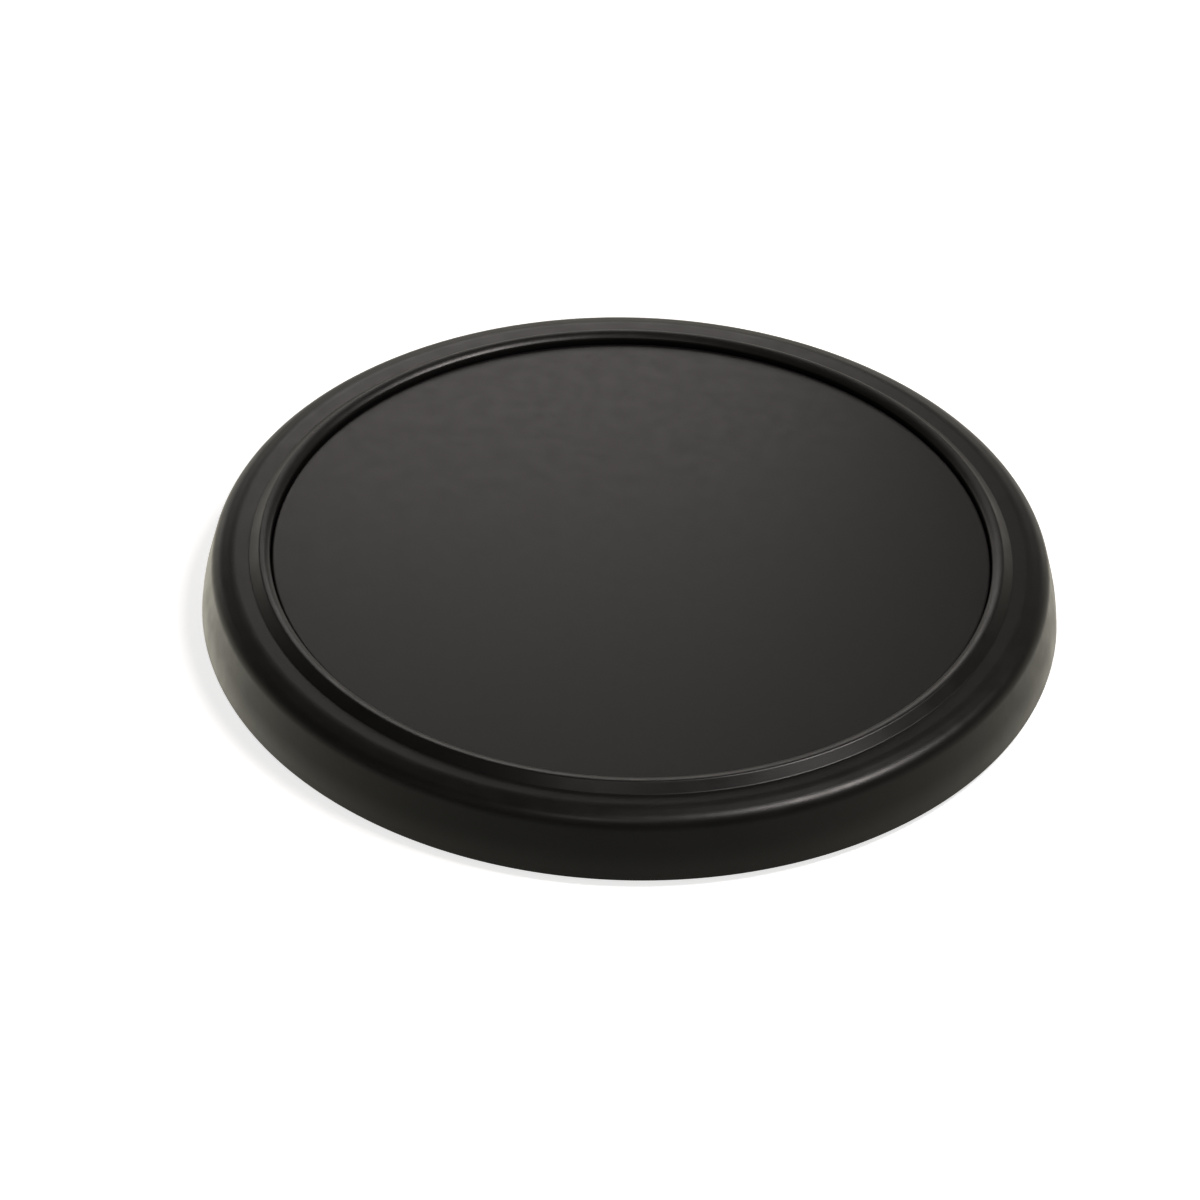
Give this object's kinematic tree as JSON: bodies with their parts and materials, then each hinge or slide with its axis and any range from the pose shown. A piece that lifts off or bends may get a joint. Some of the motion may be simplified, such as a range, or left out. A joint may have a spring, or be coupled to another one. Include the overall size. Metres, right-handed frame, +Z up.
{
  "type": "practice pad",
  "caption": "Low round drum practice pad: rubber playing disc inside a raised bead, rounded moulded shell, threaded bush for a stand and a non-slip ring underneath.",
  "frame": {"origin": "centre of the pad on the plane its grip ring rests on", "axes": "+Z up through the playing disc; +X and +Y across the pad, which is round apart from its screws"},
  "size_m": [0.178, 0.178, 0.017],
  "materials": {
    "shell_plastic": "satin black moulded ABS",
    "cover_plastic": "fine-textured black moulded ABS",
    "gum_rubber": "matte dark grey-black gum rubber",
    "grip_rubber": "matte black solid rubber",
    "adhesive_film": "double-sided adhesive film",
    "fibreboard": "medium-density fibreboard",
    "plated_metal": "bright zinc plated",
    "black_steel": "black oxide steel"
  },
  "bodies": {
    "root": {"top_shell": "shell_plastic", "playing_surface": "gum_rubber", "surface_adhesive": "adhesive_film", "core_board": "fibreboard", "base_cover": "cover_plastic", "stand_bush": "plated_metal", "grip_ring": "grip_rubber", "grip_ring_adhesive": "adhesive_film", "cover_screw_1": "black_steel", "cover_screw_2": "black_steel", "cover_screw_3": "black_steel", "cover_screw_4": "black_steel", "cover_screw_5": "black_steel", "cover_screw_6": "black_steel", "bush_screw_1": "plated_metal", "bush_screw_2": "plated_metal", "bush_screw_3": "plated_metal"}
  },
  "joints": []
}
